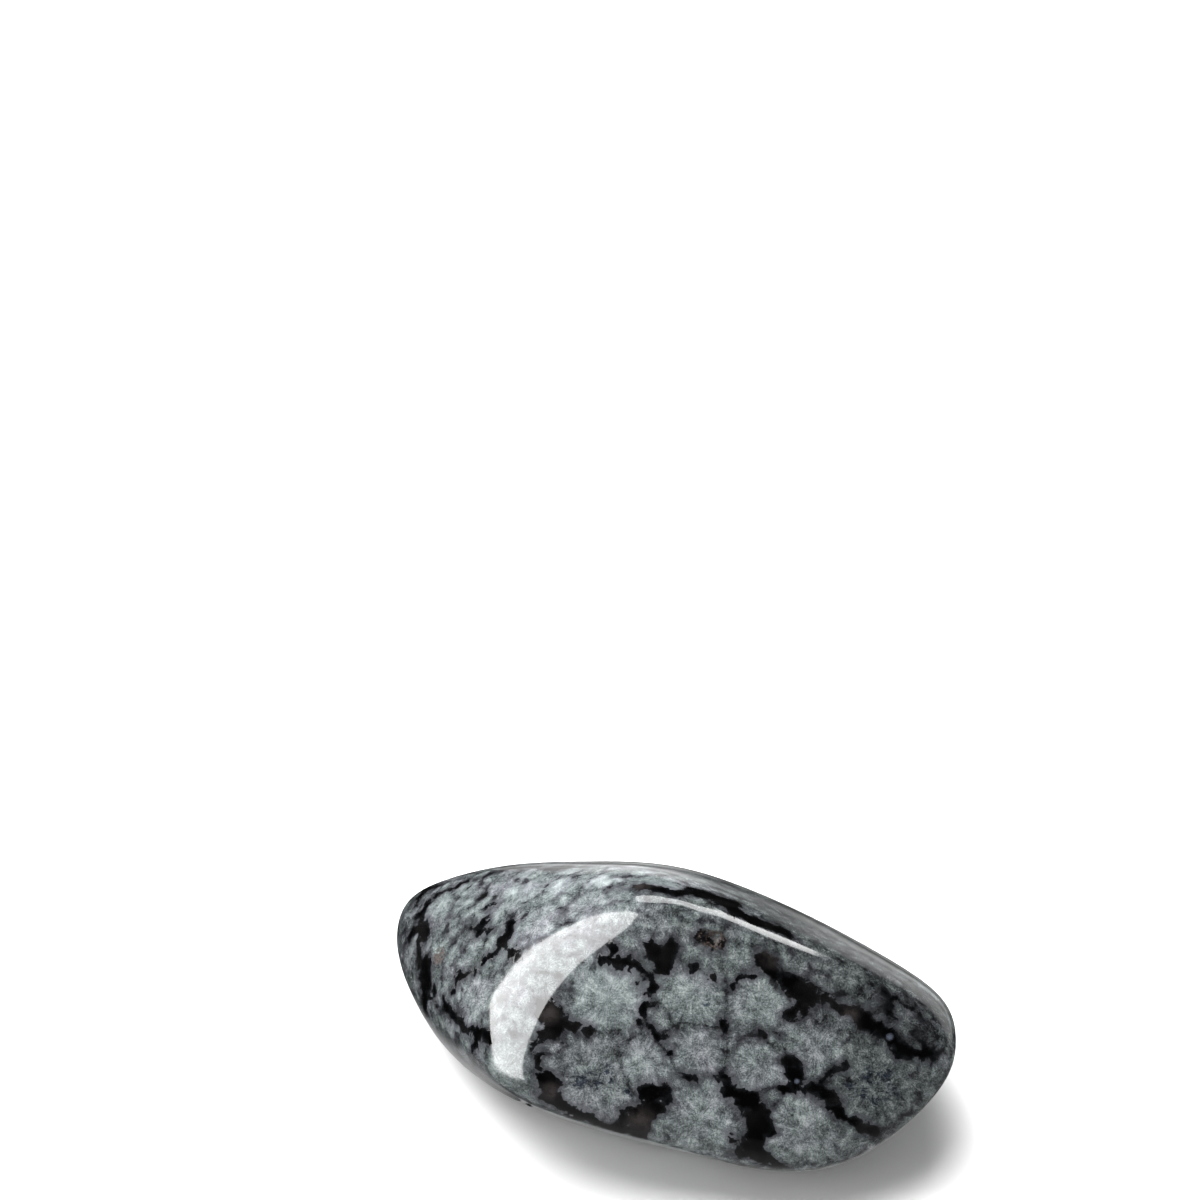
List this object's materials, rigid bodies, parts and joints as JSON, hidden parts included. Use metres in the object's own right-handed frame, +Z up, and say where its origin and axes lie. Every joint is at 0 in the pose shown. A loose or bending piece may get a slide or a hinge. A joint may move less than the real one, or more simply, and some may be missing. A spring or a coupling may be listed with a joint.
{
  "type": "tumbled snowflake obsidian stone",
  "caption": "Small tumbled piece of black volcanic glass with grey snowflake-like crystals, rounded edges, a high polish and one flattened side to rest on.",
  "frame": {"origin": "on the ground plane under the stone, below the middle of its bounding box", "axes": "+X along the stone's length, -Y towards its broad front face, +Z up from the flat patch it rests on"},
  "size_m": [0.0318, 0.0192, 0.0146],
  "materials": {
    "snowflake_obsidian": "polished, black glass with grey crystal flakes"
  },
  "bodies": {
    "root": {"tumbled_stone": "snowflake_obsidian"}
  },
  "joints": []
}
